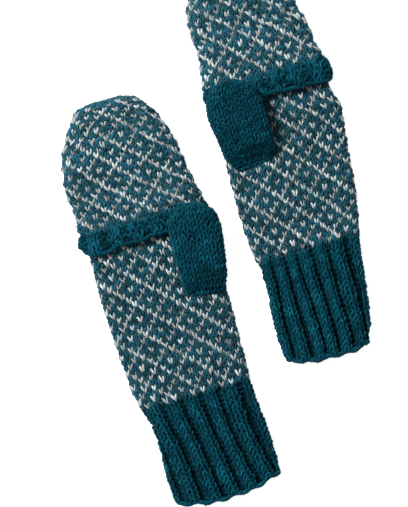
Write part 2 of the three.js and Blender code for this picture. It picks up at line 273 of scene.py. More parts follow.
def hem_tube(side, m):
    """The band along the cap's open edge. v runs from its lower edge, 0, up to the cap. Its ends puff out and round off."""
    P, LF, LB = [], [], []
    y0 = m["hem"][0][0] + m["hem_lift"]
    for k in np.arange(-3.0, 21.0, 0.75):
        xl, xr = curve(m["hem"], np.clip(m["hem"][0][0] + k, m["hem"][0][0], 210.0))[0]
        lobe = math.sin(math.pi * min(max((k + 1.0) / 15.5, 0.0), 1.0)) ** 0.8
        xl, xr = xl + m["hem_in"][0] * (1 - lobe) - 0.6 * lobe, xr - m["hem_in"][1] * (1 - lobe) + 0.4 * lobe
        hw, xc = (xr - xl) / 2 - 1.3, (xr + xl) / 2
        x, z, lf, lb = ring(hw, 6.6 + 1.3 * lobe, 5.2, 2.5, 2.7)
        low = 1 - smooth(k / 16.0)
        lean = m["slope"] * x * low
        R = 6.0
        q = np.clip((np.abs(x) - (hw - R)) / R, 0, 1)
        corner = m["corner"] * (1 - np.sqrt(1 - q * q * 0.99)) * (1 - smooth(k / 11.0))
        droop = m["hem_droop"] * np.exp(-(((x + 0.72 * hw) / 9.0) ** 2)) * (1 - smooth(k / 12.0))
        wav = (0.45 * np.sin(x * 0.23 + (1.0 if side == "left" else 0.0)) + 0.3 * np.sin(x * 0.51)) * (1 - smooth(k / 10.0))
        puff = 0.5 * np.sin(x * 0.31 + k * 0.2 + 0.8) * lobe * (z > 0)
        P.append(np.stack([x + xc - OX, y0 + k + lean + corner + droop + wav + m["wrist"] - OY, 7.6 + z + puff], 1))
        LF.append(lf)
        LB.append(lb)
    return Tube(P, LF, LB, v0=-3.0)


def thumb_frame(m):
    b = np.array([m["thumb"]["base"][0] - OX, m["thumb"]["base"][1] + m["wrist"] - OY])
    t = np.array([m["thumb"]["tip"][0] - OX, m["thumb"]["tip"][1] + m["wrist"] - OY])
    length = float(np.linalg.norm(t - b))
    return b, (t - b) / length, length


def thumb_tube(side, m):
    b, ax, length = thumb_frame(m)
    px = np.array([ax[1], -ax[0]])
    inset = 1.4
    # rows: a rounded foot, the straight part and a rounded tip, as (distance along, height factor, side allowance)
    foot, tip = 12.0, 7.0
    p = np.radians(np.arange(0.0, 90.1, 5.0))
    rows = [(-1.6 + 7.6 * (1 - math.cos(a)), math.sin(a)) for a in p]
    rows += [(s, 1.0) for s in np.arange(6.5, length - inset - tip, 1.0)]
    q = np.radians(np.arange(0.0, 84.1, 4.0))
    rows += [(length - inset - tip + tip * math.sin(a), math.cos(a)) for a in q]
    P, LF, LB = [], [], []
    for s, f in rows:
        frac = min(max(s / length, 0.0), 1.0)
        late = s > length / 2
        far = frac if frac < 0.8 else 0.8 + (frac - 0.8) * (0.2 / (0.2 - inset / length))
        hw = float(np.interp(far, *np.array(m["thumb"]["half"]).T)) if not late else float(
            curve(m["thumb"]["half"], min(far, 1.0))[0, 0])
        bend, cut = m["thumb"]["corner"]
        q1 = min(max((bend - s) / bend, 0.0), 1.0)
        hw = max(hw - inset - (0.0 if late else cut * (1 - math.sqrt(1 - 0.98 * q1 * q1))), 1.6)
        full = 2.9 + 1.2 * smooth(s / 24)
        low = 12.0 + 5.1 * frac
        if late:
            zt = full * max(f, 0.12)
            mid = low + inset + full
        else:
            # the picked-up rows come out of the palm: the top rises from the palm's own surface
            up = smooth((s + 1.6) / (foot + 7.0))
            top = (10.9 + (low + inset + 2 * full - 10.9) * up)
            under = 9.2 + (low + inset - 9.2) * smooth((s + 1.6) / 9.0)
            zt = max((top - under) / 2, 0.6)
            mid = (top + under) / 2
        x, z, lf, lb = ring(hw, zt, zt, 2.35, 3.4)
        mid += 0.15 * math.sin(s * 0.21)
        P.append(np.stack([b[0] + ax[0] * s + px[0] * x, b[1] + ax[1] * s + px[1] * x, mid + z], 1))
        LF.append(lf)
        LB.append(lb)
    return Tube(P, LF, LB, v0=0.0)


def sleeve_tube(side, m, number, length):
    name = m["sleeves"][number][0]
    w = m["sleeve_w"]
    x0 = m["sleeve_x"] + number * (w + 0.6)
    hw, xc = w / 2 - 1.1, x0 + w / 2
    P, LF, LB = [], [], []
    for y in np.arange(202.0, 210.7 + length + 2.0, 1.0):
        flare = 0.25 * math.sin((y - 200) * 0.4 + number)
        x, z, lf, lb = ring(hw + 0.3 * flare, 3.3, 3.2, 2.3, 2.6)
        P.append(np.stack([x + xc - OX, y + m["wrist"] + 0 * x - OY, 7.8 + z], 1))
        LF.append(lf)
        LB.append(lb)
    return Tube(P, LF, LB, v0=202.0)


# ---------------------------------------------------------------------------------------------------------------
# yarn
# ---------------------------------------------------------------------------------------------------------------
SEG = 12  # samples along a stitch
SIDES = 8


class Yarn:
    """Collects yarn runs, then makes one mesh of closed tubes."""

    def __init__(self, seed):
        self.parts = []
        self.rng = np.random.default_rng(seed)

    def run(self, centre, normal, radius, colour, along, cell, closed=False):
        """centre, normal (M,3); radius (M,); colour (M,3); along (M,) mm; cell (u0, v0, du, dv) of the run in the UV grid."""
        self.parts.append((centre, normal, radius, colour, along, cell, closed))

    def triangles(self):
        return sum(2 * SIDES * (len(p[0]) - (0 if p[6] else 1)) for p in self.parts)

    def mesh(self, name):
        cos = np.cos(np.arange(SIDES) * 2 * np.pi / SIDES)
        sin = np.sin(np.arange(SIDES) * 2 * np.pi / SIDES)
        V, C, A, F, U, caps, capu = [], [], [], [], [], [], []
        base = 0
        for centre, normal, radius, colour, along, cell, closed in self.parts:
            M = len(centre)
            if closed:
                t = np.roll(centre, -1, 0) - np.roll(centre, 1, 0)
            else:
                t = np.gradient(centre, axis=0)
            t /= np.maximum(np.linalg.norm(t, axis=1, keepdims=True), 1e-9)
            n = normal - (normal * t).sum(1, keepdims=True) * t
            n /= np.maximum(np.linalg.norm(n, axis=1, keepdims=True), 1e-9)
            b = np.cross(t, n)
            off = cos[None, :, None] * n[:, None] + sin[None, :, None] * b[:, None]
            phase = self.rng.uniform(0, 100)
            around = np.arange(SIDES) * 2 * np.pi / SIDES
            ply = np.cos(2 * around[None, :] + 2.1 * (along[:, None] + phase))
            rough = self.rng.normal(0, 0.075, (M, SIDES))
            P = centre[:, None] + off * (radius[:, None] * (1 + 0.10 * ply + rough))[:, :, None]
            V.append(P.reshape(-1, 3))
            # a random heathered tone per vertex, plus painted shade and highlight following the plies (0.14 * ply)
            heather_and_ply_shade = np.exp(self.rng.normal(0, 0.26, (M * SIDES, 1)) + 0.14 * ply.reshape(-1, 1) - 0.03)
            C.append(np.clip(np.repeat(colour, SIDES, 0) * heather_and_ply_shade, 0, 0.95))
            a = np.stack([np.repeat(along + phase, SIDES), np.tile(np.arange(SIDES) / SIDES, M),
                          np.repeat(np.full(M, self.rng.uniform()), SIDES)], 1)
            A.append(a)
            R = M if closed else M - 1
            i = np.arange(R)[:, None]
            s = np.arange(SIDES)[None, :]
            s1 = (s + 1) % SIDES
            i1 = (i + 1) % M
            quad = np.stack([i * SIDES + s, i * SIDES + s1, i1 * SIDES + s1, i1 * SIDES + s], 2)
            F.append((quad + base).reshape(-1, 4))
            u0, v0, du, dv = cell
            ua = u0 + du * np.arange(R + 1) / R
            va = v0 + dv * (0.04 + 0.92 * np.arange(SIDES + 1) / SIDES)
            uq = np.empty((R, SIDES, 4, 2))
            uq[:, :, 0, 0] = ua[:-1, None]
            uq[:, :, 1, 0] = ua[:-1, None]
            uq[:, :, 2, 0] = ua[1:, None]
            uq[:, :, 3, 0] = ua[1:, None]
            uq[:, :, 0, 1] = va[None, :-1]
            uq[:, :, 3, 1] = va[None, :-1]
            uq[:, :, 1, 1] = va[None, 1:]
            uq[:, :, 2, 1] = va[None, 1:]
            U.append(uq.reshape(-1, 2))
            if not closed:
                caps.append(base + np.arange(SIDES)[::-1])
                caps.append(base + (M - 1) * SIDES + np.arange(SIDES))
                for uu in (ua[0], ua[-1]):
                    ring_uv = np.stack([uu + 0.12 * abs(du) / max(R, 1) * cos * (1 if uu == ua[-1] else -1),
                                        v0 + dv * (0.5 + 0.4 * sin)], 1)
                    capu.append(ring_uv)
            base += M * SIDES
        V = rest_on_table(np.concatenate(V)) * MM
        quads = np.concatenate(F)
        nq, nc = len(quads), len(caps)
        me = bpy.data.meshes.new(name)
        me.vertices.add(len(V))
        me.vertices.foreach_set("co", V.astype(np.float32).ravel())
        loops = np.concatenate([quads.ravel()] + [c for c in caps]) if nc else quads.ravel()
        me.loops.add(len(loops))
        me.loops.foreach_set("vertex_index", loops.astype(np.int32))
        me.polygons.add(nq + nc)
        starts = np.concatenate([np.arange(nq) * 4, nq * 4 + np.arange(nc) * SIDES])
        me.polygons.foreach_set("loop_start", starts.astype(np.int32))
        me.polygons.foreach_set("use_smooth", np.ones(nq + nc, bool))
        uv = me.uv_layers.new(name="OFBake")
        allu = np.concatenate([np.concatenate(U)] + capu) if nc else np.concatenate(U)
        allu = np.clip(allu, 0.0005, 0.9995)
        uv.data.foreach_set("uv", allu.astype(np.float32).ravel())
        col = me.color_attributes.new("tint", "FLOAT_COLOR", "POINT")
        c4 = np.ones((len(V), 4), np.float32)
        c4[:, :3] = np.concatenate(C)
        col.data.foreach_set("color", c4.ravel())
        at = me.attributes.new("yarn", "FLOAT_VECTOR", "POINT")
        at.data.foreach_set("vector", np.concatenate(A).astype(np.float32).ravel())
        me.update(calc_edges=True)
        me.validate()
        return me


def course(q, N, ub, v, h, purl, drop, rad, jit, H=0.9, spread=0.28, depth=0.6, skew=0.0, pinch=0.2):
    """Centre coordinates (u, v, n) and radius of a row of stitches at positions q (in stitches).
    ub: stitch boundaries in u (N+1); v: row centre, scalar or (N,); purl, drop, rad (N,); jit: dict of (N,) arrays."""
    i = np.clip(np.floor(q).astype(int), 0, N - 1)
    tau = q - i
    t = 2 * np.pi * tau

    def param(a, sharp=1.0):
        a = np.asarray(a, float)
        if a.ndim == 0:
            return a
        g = tau - 0.5
        nb = np.where(g > 0, (i + 1) % N, (i - 1) % N)
        w = np.abs(g)
        return a[i] * (1 - w) + a[nb] * w

    width = ub[i + 1] - ub[i]
    sp = param(spread * jit["spread"])
    u = ub[i] + width * tau + sp * width * np.sin(2 * t) + param(jit["dx"]) * width
    rise = param(h * H * jit["size"])
    side = np.clip(1.5 * param(1 - 2 * purl), -1, 1)
    lean = param(jit["lean"]) * np.sin(t)
    y = param(v) - rise * np.cos(t) + lean * h + param(jit["dy"]) * h
    n = -side * depth * param(jit["deep"]) * np.cos(2 * t) + param(drop)
    leaf = 1 - pinch * side * np.cos(2 * t) + skew * np.sin(t)
    return u, y, n, param(rad) * leaf


def jitter(rng, N, amount=1.0):
    return dict(dx=rng.normal(0, 0.045 * amount, N), dy=rng.normal(0, 0.05 * amount, N),
                size=1 + rng.normal(0, 0.06 * amount, N), spread=1 + rng.normal(0, 0.16 * amount, N),
                lean=rng.normal(0, 0.06 * amount, N), deep=1 + rng.normal(0, 0.15 * amount, N))


def is_cream(c, r):
    """0 teal; else how boldly the cream stitch shows: lines that fall to the right sit proud, the others sink in. In
    knit_row the fainter ones are also painted darker, a painted shade.
    """
    c, r = np.mod(c, 6), np.mod(r, 6)
    falling, rising = (c + r) % 6 == 0, (c - r) % 6 == 0
    dots = ((c == 3) & (r == 0)) | ((c == 0) & (r == 3))
    return np.where(falling, 1.0, np.where(dots, 0.85, np.where(rising, 0.62, 0.0)))


def tint(rng, base, N, spread=0.22, hue=0.05):
    k = np.exp(rng.normal(0, spread, N))[:, None]
    hue = 1 + rng.normal(0, hue, (N, 3))
    return np.clip(base[None] * k * hue, 0, 0.92)


def knit_row(store, tube, N, ub, v, h, rng, cell, purl=None, drop=None, radius=0.82, colour=None, cream=None,
             cream_store=None, amount=1.0, cream_radius=0.98, open_ends=False, H=0.9, spread=0.28, depth=0.6, seg=SEG):
    """Lays one course. cream marks the stitches worked in the second yarn, which go to cream_store."""
    purl = np.zeros(N) if purl is None else purl
    drop = np.zeros(N) if drop is None else np.array(drop, float)
    rad = np.full(N, radius) * (1 + rng.normal(0, 0.045 * amount, N))
    jit = jitter(rng, N, amount)
    tints = tint(rng, colour, N) if np.ndim(colour) == 1 else colour
    u0, v0, du, dv = cell

    def emit(dest, i0, i1, tints, rad, closed, drop, duck=True, skew=0.0, pinch=0.2, shade=(0.26, 1.0)):
        count = (i1 - i0) * seg
        q = i0 + np.arange(count + (0 if closed else 1)) / seg
        qq = np.where(q >= N, q - N, q) if (i1 > N) else q
        if not closed and i1 <= N:
            qq = np.minimum(q, N - 1e-9)
        u, y, n, r = course(qq, N, ub, v, h, purl, drop, rad, jit, H, spread, depth, skew, pinch)
        if duck and not closed:
            e = np.minimum(q - i0, i1 - q) * seg
            k = 1 - smooth(e / 2.2)
            n = n - 0.75 * k
            r = r * (1 - 0.45 * k)
        c, m = tube.at(u, y, n)
        idx = np.floor(qq).astype(int) % N
        g = (qq - idx) - 0.5
        nb = np.where(g > 0, (idx + 1) % N, (idx - 1) % N)
        w = np.abs(g)[:, None]
        col = tints[idx] * (1 - w) + tints[nb] * w
        if not closed:
            first, last = i0 % N, (i1 - 1) % N
            col[: seg // 2] = tints[first]
            col[-(seg // 2):] = tints[last]
        # painted shade: each strand's colour is darkened where it dips in (heads, sinkers, purl valleys) and kept
        # bright on the raised legs, standing in for the shade between stitches; shade gives its floor and span
        deep = shade[0] + shade[1] * smooth((n + depth + 0.9) / (2 * depth + 1.0))
        col = col * deep[:, None]
        d = np.concatenate([[0], np.cumsum(np.linalg.norm(np.diff(c, axis=0), axis=1))])
        dest.run(c, m, r, col, d, (u0 + du * (i0 / N), v0, du * ((i1 - i0) / N), dv), closed)

    if cream is None:
        if open_ends:
            emit(store, 0, N, tints, rad, False, drop)
        else:
            emit(store, 0, N, tints, rad, True, drop)
        return
    white = tint(rng, CREAM, N, 0.13, 0.008)
    bold = np.clip(np.where(cream > 0, cream, 0.8) * np.exp(rng.normal(0, 0.24, N)), 0.25, 1.3)
    # painted shade: the cream of the fainter, sunken stitches is painted darker and the bold ones lighter; bold also
    # holds a random tone per stitch
    white = white * np.clip(0.55 + 0.5 * bold, 0.5, 1.12)[:, None]
    fat = cream_radius * (0.45 + 0.55 * bold)
    sink = -0.55 * np.clip(1 - bold, 0, 1)
    cream = cream > 0
    edges = [i for i in range(N) if cream[i] != cream[i - 1]]
    if not edges:
        emit(store, 0, N, tints, rad, True, drop)
        return
    for k, i0 in enumerate(edges):
        i1 = edges[k + 1] if k + 1 < len(edges) else edges[0] + N
        if i1 <= N:
            spans = [(i0, i1)]
        else:
            spans = [(i0, N)] + ([(0, i1 - N)] if i1 - N > 0 else [])
        for a, b in spans:
            if cream[i0]:
                emit(cream_store, a, b, white, fat, False, drop + 0.12 + sink, skew=0.16, pinch=0.32, shade=(0.5, 0.55))
            else:
                emit(store, a, b, tints, rad, False, drop)


def edge_chain(store, tube, N, v, n, rng, cell, radius=0.95, colour=TEAL, closed=True, us=(0.0, 1.0), lift=0.45, tilt=0.5):
    """The chain a cast-on or cast-off leaves along an edge: two strands that wrap over each other."""
    u0, v0, du, dv = cell
    for strand in range(2):
        count = N * 10 + (0 if closed else 1)
        q = np.arange(count) / 10
        phase = 2 * np.pi * (q + 0.5 * strand)
        slow = rng.uniform(0, 6)
        u = us[0] + (us[1] - us[0]) * (q / N) + 0.28 * (us[1] - us[0]) / N * np.sin(2 * phase)
        vv = v + tilt * np.cos(phase) + 0.12 * np.sin(q * 0.9 + slow)
        nn = n + lift * np.sin(phase)
        c, m = tube.at(u, vv, nn)
        k = np.exp(rng.normal(0, 0.10, N + 1))
        # the chain is painted lighter than its yarn (* 1.12), a painted highlight along the edge; k is a random tone
        # per stitch
        col = colour[None] * (np.interp(q, np.arange(N + 1), k))[:, None] * 1.12
        r = np.full(count, radius) * (1 + 0.05 * np.sin(q * 2.1 + slow))
        d = np.concatenate([[0], np.cumsum(np.linalg.norm(np.diff(c, axis=0), axis=1))])
        store.run(c, m, r, np.clip(col, 0, 0.9), d, (u0, v0 + dv * 0.5 * strand, du, dv * 0.48), closed)


# ---------------------------------------------------------------------------------------------------------------
# other meshes: the ground behind the stitches, painted dark as shade, and loose fibres
# ---------------------------------------------------------------------------------------------------------------
def ground(name, tube, va, vb, n_out, n_in, us=None, close_end=False, step=2.0, colour=None):
    """A thin closed skin inside the stitches: the floats and the backs of the stitches, painted much darker than the
    yarn as the shade in the gaps between stitches.
    """
    vs = np.linspace(va, vb, max(3, int((vb - va) / step) + 1))
    if us is None:
        U = np.arange(96) / 96
        wrap = True
    else:
        U = np.linspace(us[0], us[1], 72)
        wrap = False
    G, Vv = np.meshgrid(U, vs)
    out, _ = tube.at(G, Vv, np.full(G.shape, n_out))
    inn, _ = tube.at(G, Vv, np.full(G.shape, n_in))
    nr, nu = G.shape
    verts = np.concatenate([out.reshape(-1, 3), inn.reshape(-1, 3)])
    faces = []
    off = nr * nu
    cols = nu if wrap else nu - 1
    for j in range(nr - 1):
        for i in range(cols):
            i1 = (i + 1) % nu
            a, b, c, d = j * nu + i, j * nu + i1, (j + 1) * nu + i1, (j + 1) * nu + i
            faces.append((a, b, c, d))
            faces.append((d + off, c + off, b + off, a + off))
    for i in range(cols):
        i1 = (i + 1) % nu
        faces.append((i1, i, i + off, i1 + off))
        a, b = (nr - 1) * nu + i, (nr - 1) * nu + i1
        faces.append((a, b, b + off, a + off))
    if not wrap:
        for j in range(nr - 1):
            a, d = j * nu, (j + 1) * nu
            faces.append((a, d, d + off, a + off))
            a, d = j * nu + nu - 1, (j + 1) * nu + nu - 1
            faces.append((d, a, a + off, d + off))
    me = bpy.data.meshes.new(name)
    me.from_pydata((verts * MM).tolist(), [], faces)
    me.polygons.foreach_set("use_smooth", np.ones(len(me.polygons), bool))
    uv = me.uv_layers.new(name="OFBake")
    uu = np.concatenate([G.ravel() * 0.96 + 0.01, G.ravel() * 0.96 + 0.01])
    span = (Vv.ravel() - va) / (vb - va)
    vv = np.concatenate([span * 0.44 + 0.02, span * 0.44 + 0.52])
    li = np.empty(len(me.loops), int)
    me.loops.foreach_get("vertex_index", li)
    luv = np.stack([uu[li], vv[li]], 1)
    if wrap:
        # the faces that close the ring run past the right edge instead of back across the map
        lp = luv.reshape(-1, 4, 2)
        wide = (lp[:, :, 0].max(1) - lp[:, :, 0].min(1)) > 0.5
        fix = lp[wide]
        fix[:, :, 0] = np.where(fix[:, :, 0] < 0.5, 0.975, fix[:, :, 0])
        lp[wide] = fix
        luv = lp.reshape(-1, 2)
    uv.data.foreach_set("uv", luv.astype(np.float32).ravel())
    me.update(calc_edges=True)
    return me


def fluff(name, picks, rng):
    """Short straight closed spikes: the felted surface of the yarn. picks as for fibres."""
    V, F, C = [], [], []
    base = 0
    for tube, count, ur, vr, colours, weights, length, lift in picks:
        if np.ndim(ur) == 1 and len(ur) == count:
            u, v = ur, vr
        else:
            u = rng.uniform(ur[0], ur[1], count)
            v = rng.uniform(vr[0], vr[1], count)
        L = length * np.clip(np.exp(rng.normal(0, 0.4, count)), 0.3, 2.0)
        p0, n0 = tube.at(u, v, lift + rng.uniform(-0.9, 0.1, count))
        ang = rng.uniform(0, 2 * np.pi, count)
        ref = np.array([0.0, 1.0, 0.0])
        a = ref[None] - (n0 @ ref)[:, None] * n0
        a /= np.maximum(np.linalg.norm(a, axis=1, keepdims=True), 1e-6)
        b = np.cross(n0, a)
        tilt = rng.uniform(-0.15, 0.22, count)
        d0 = np.cos(ang)[:, None] * a + np.sin(ang)[:, None] * b + n0 * tilt[:, None]
        d0 /= np.linalg.norm(d0, axis=1, keepdims=True)
        w = np.cross(d0, n0 + 1e-3)
        w /= np.maximum(np.linalg.norm(w, axis=1, keepdims=True), 1e-6)
        w2 = np.cross(w, d0)
        r = 0.070 * np.exp(rng.normal(0, 0.25, count))[:, None]
        ring0 = np.stack([p0 + (w * math.cos(x) + w2 * math.sin(x)) * r for x in (0.0, 2.0944, 4.18879)], 1)
        V.append(np.concatenate([ring0, (p0 + d0 * L[:, None])[:, None]], 1).reshape(-1, 3))
        o = base + np.arange(count)[:, None] * 4
        tri = np.array([[0, 2, 1], [0, 1, 3], [1, 2, 3], [2, 0, 3]])
        F.append((o[:, :, None] + tri[None]).reshape(-1, 3))
        pick = rng.choice(len(colours), count, p=weights)
        C.append(np.repeat(np.clip(np.array(colours)[pick] * np.exp(rng.normal(0, 0.2, count))[:, None], 0, 0.95), 4, 0))
        base += count * 4
    return spikes(name, np.concatenate(V), np.concatenate(F), np.concatenate(C), 4,
                  np.array([[0.1, 0.1], [0.9, 0.1], [0.5, 0.4], [0.5, 0.9]]))


def rest_on_table(V):
    """Wool that would reach below the table (z 0, mm) is pressed flat against it."""
    z = V[:, 2]
    V[:, 2] = np.where(z < 0.4, 0.03 + 0.37 * np.exp((np.minimum(z, 0.4) - 0.4) / 0.37), z)
    return V


def spikes(name, V, F, C, per, local):
    V = rest_on_table(V)
    me = bpy.data.meshes.new(name)
    me.vertices.add(len(V))
    me.vertices.foreach_set("co", (V * MM).astype(np.float32).ravel())
    me.loops.add(len(F) * 3)
    me.loops.foreach_set("vertex_index", F.astype(np.int32).ravel())
    me.polygons.add(len(F))
    me.polygons.foreach_set("loop_start", (np.arange(len(F)) * 3).astype(np.int32))
    me.polygons.foreach_set("use_smooth", np.ones(len(F), bool))
    count = len(V) // per
    side = int(math.ceil(math.sqrt(count)))
    uv = me.uv_layers.new(name="OFBake")
    ids = np.arange(len(V)) // per
    uvv = (np.stack([ids % side, ids // side], 1) + np.tile(local, (count, 1))) / side
    uv.data.foreach_set("uv", uvv[F.ravel()].astype(np.float32).ravel())
    col = me.color_attributes.new("tint", "FLOAT_COLOR", "POINT")
    c4 = np.ones((len(V), 4), np.float32)
    c4[:, :3] = C
    col.data.foreach_set("color", c4.ravel())
    me.update(calc_edges=True)
    return me


def fibres(name, picks, rng):
    """picks: list of (tube, count, u range, v range, colours (k,3), weights, length, base height).
    Thin bent closed spikes, like the halo of a woollen yarn."""
    V, F, C = [], [], []
    base = 0
    for tube, count, ur, vr, colours, weights, length, lift in picks:
        if np.ndim(ur) == 1 and len(ur) == count:
            u, v = ur, vr
        else:
            u = rng.uniform(ur[0], ur[1], count)
            v = rng.uniform(vr[0], vr[1], count)
        L = length * np.clip(np.exp(rng.normal(0, 0.45, count)), 0.3, 2.2)
        p0, n0 = tube.at(u, v, lift + rng.uniform(-0.5, 0.25, count))
        ang = rng.uniform(0, 2 * np.pi, count)
        ref = np.array([0.0, 1.0, 0.0])
        a = ref[None] - (n0 @ ref)[:, None] * n0
        a /= np.maximum(np.linalg.norm(a, axis=1, keepdims=True), 1e-6)
        b = np.cross(n0, a)
        tilt = rng.uniform(0.03, 0.62, count) ** 1.2
        d0 = (np.cos(ang)[:, None] * a + np.sin(ang)[:, None] * b) * (1 - 0.4 * tilt[:, None]) + n0 * tilt[:, None]
        d0 /= np.linalg.norm(d0, axis=1, keepdims=True)
        bend = rng.normal(0, 0.45, (count, 3))
        d1 = d0 + bend - n0 * 0.25
        d1 /= np.linalg.norm(d1, axis=1, keepdims=True)
        p1 = p0 + d0 * (L * 0.5)[:, None]
        p2 = p1 + d1 * (L * 0.5)[:, None]
        w = np.cross(d0, n0 + 1e-3)
        w /= np.maximum(np.linalg.norm(w, axis=1, keepdims=True), 1e-6)
        w2 = np.cross(w, d0)
        r = 0.052 * np.exp(rng.normal(0, 0.2, count))[:, None]
        k = [(np.cos(x), np.sin(x)) for x in (0.0, 2.0944, 4.18879)]
        ring0 = np.stack([p0 + (w * c + w2 * s) * r for c, s in k], 1)
        ring1 = np.stack([p1 + (w * c + w2 * s) * r * 0.8 for c, s in k], 1)
        pts = np.concatenate([ring0, ring1, p2[:, None]], 1)
        V.append(pts.reshape(-1, 3))
        o = base + np.arange(count)[:, None] * 7
        tri = np.array([[0, 2, 1], [0, 1, 4], [0, 4, 3], [1, 2, 5], [1, 5, 4], [2, 0, 3], [2, 3, 5],
                        [3, 4, 6], [4, 5, 6], [5, 3, 6]])
        F.append((o[:, :, None] + tri[None]).reshape(-1, 3))
        pick = rng.choice(len(colours), count, p=weights)
        c = np.array(colours)[pick] * np.exp(rng.normal(0, 0.15, count))[:, None]
        C.append(np.repeat(np.clip(c, 0, 0.95), 7, 0))
        base += count * 7
    return spikes(name, np.concatenate(V), np.concatenate(F), np.concatenate(C), 7,
                  np.array([[0.1, 0.1], [0.5, 0.1], [0.9, 0.1], [0.1, 0.5], [0.5, 0.5], [0.9, 0.5], [0.5, 0.9]]))


# ---------------------------------------------------------------------------------------------------------------
# materials
# ---------------------------------------------------------------------------------------------------------------
def node_tree(name):
    mat = bpy.data.materials.new(name)
    mat.use_nodes = True
    nt = mat.node_tree
    nt.nodes.clear()
    out = nt.nodes.new("ShaderNodeOutputMaterial")
    sh = nt.nodes.new("ShaderNodeBsdfPrincipled")
    nt.links.new(sh.outputs["BSDF"], out.inputs["Surface"])
    return mat, nt, sh


def yarn_material(name, sheen, sheen_tint, rough, fleck_colour, fleck, depth=0.55):
    """Plied woollen yarn: the stitch's tint, which carries painted depth shade, painted shade between the plies with a
    painted highlight on their crests, paler loose fibres, fine bump.
    """
    mat, nt, sh = node_tree(name)
    L = nt.links.new
    N = nt.nodes.new
    tint_n = N("ShaderNodeAttribute")
    tint_n.attribute_name = "tint"
    yarn_n = N("ShaderNodeAttribute")
    yarn_n.attribute_name = "yarn"
    sep = N("ShaderNodeSeparateXYZ")
    L(yarn_n.outputs["Vector"], sep.inputs[0])
    # two plies: a sine that winds round the tube
    al = N("ShaderNodeMath")
    al.operation = "MULTIPLY"
    al.inputs[1].default_value = 2.1
    L(sep.outputs["X"], al.inputs[0])
    ar = N("ShaderNodeMath")
    ar.operation = "MULTIPLY_ADD"
    ar.inputs[1].default_value = 4 * math.pi
    L(sep.outputs["Y"], ar.inputs[0])
    L(al.outputs[0], ar.inputs[2])
    ply = N("ShaderNodeMath")
    ply.operation = "SINE"
    L(ar.outputs[0], ply.inputs[0])
    # fibre streaks, stretched along the yarn
    pos = N("ShaderNodeTexCoord")
    noise = N("ShaderNodeTexNoise")
    noise.inputs["Scale"].default_value = 1400.0
    noise.inputs["Detail"].default_value = 3.0
    noise.inputs["Roughness"].default_value = 0.65
    L(pos.outputs["Object"], noise.inputs["Vector"])
    patch = N("ShaderNodeTexNoise")
    patch.inputs["Scale"].default_value = 95.0
    patch.inputs["Detail"].default_value = 2.0
    L(pos.outputs["Object"], patch.inputs["Vector"])
    # colour: the ply sine is painted in as shade between the plies and highlight on them (0.80 to 1.10)
    shade = N("ShaderNodeMapRange")
    shade.inputs["From Min"].default_value = -1.0
    shade.inputs["From Max"].default_value = 1.0
    shade.inputs["To Min"].default_value = 0.80
    shade.inputs["To Max"].default_value = 1.10
    L(ply.outputs[0], shade.inputs["Value"])
    pr = N("ShaderNodeMapRange")
    pr.inputs["From Min"].default_value = 0.3
    pr.inputs["From Max"].default_value = 0.7
    pr.inputs["To Min"].default_value = 0.86
    pr.inputs["To Max"].default_value = 1.14
    L(patch.outputs["Fac"], pr.inputs["Value"])
    mul = N("ShaderNodeMath")
    mul.operation = "MULTIPLY"
    L(shade.outputs[0], mul.inputs[0])
    L(pr.outputs[0], mul.inputs[1])
    scale = N("ShaderNodeVectorMath")
    scale.operation = "SCALE"
    L(tint_n.outputs["Color"], scale.inputs[0])
    L(mul.outputs[0], scale.inputs["Scale"])
    fr = N("ShaderNodeMapRange")
    fr.inputs["From Min"].default_value = 0.56
    fr.inputs["From Max"].default_value = 0.74
    fr.inputs["To Min"].default_value = 0.0
    fr.inputs["To Max"].default_value = fleck
    L(noise.outputs["Fac"], fr.inputs["Value"])
    mix = N("ShaderNodeMix")
    mix.data_type = "RGBA"
    mix.inputs[7].default_value = (*fleck_colour, 1)
    L(fr.outputs[0], mix.inputs[0])
    L(scale.outputs[0], mix.inputs[6])
    L(mix.outputs[2], sh.inputs["Base Color"])
    # bump
    hsum = N("ShaderNodeMath")
    hsum.operation = "MULTIPLY_ADD"
    hsum.inputs[1].default_value = 0.55
    L(noise.outputs["Fac"], hsum.inputs[0])
    half = N("ShaderNodeMath")
    half.operation = "MULTIPLY"
    half.inputs[1].default_value = 0.5
    L(ply.outputs[0], half.inputs[0])
    L(half.outputs[0], hsum.inputs[2])
    bump = N("ShaderNodeBump")
    bump.inputs["Strength"].default_value = depth
    bump.inputs["Distance"].default_value = 0.00022
    L(hsum.outputs[0], bump.inputs["Height"])
    L(bump.outputs[0], sh.inputs["Normal"])
    sh.inputs["Roughness"].default_value = rough
    sh.inputs["Specular IOR Level"].default_value = 0.04
    sh.inputs["Sheen Weight"].default_value = sheen
    sh.inputs["Sheen Roughness"].default_value = 0.5
    sh.inputs["Sheen Tint"].default_value = (*sheen_tint, 1)
    return mat


def fibre_material(name):
    mat, nt, sh = node_tree(name)
    L = nt.links.new
    t = nt.nodes.new("ShaderNodeAttribute")
    t.attribute_name = "tint"
    pos = nt.nodes.new("ShaderNodeTexCoord")
    noise = nt.nodes.new("ShaderNodeTexNoise")
    noise.inputs["Scale"].default_value = 500.0
    L(pos.outputs["Object"], noise.inputs["Vector"])
    pr = nt.nodes.new("ShaderNodeMapRange")
    pr.inputs["To Min"].default_value = 0.75
    pr.inputs["To Max"].default_value = 1.25
    L(noise.outputs["Fac"], pr.inputs["Value"])
    sc = nt.nodes.new("ShaderNodeVectorMath")
    sc.operation = "SCALE"
    L(t.outputs["Color"], sc.inputs[0])
    L(pr.outputs[0], sc.inputs["Scale"])
    L(sc.outputs[0], sh.inputs["Base Color"])
    sh.inputs["Roughness"].default_value = 0.9
    sh.inputs["Specular IOR Level"].default_value = 0.05
    return mat


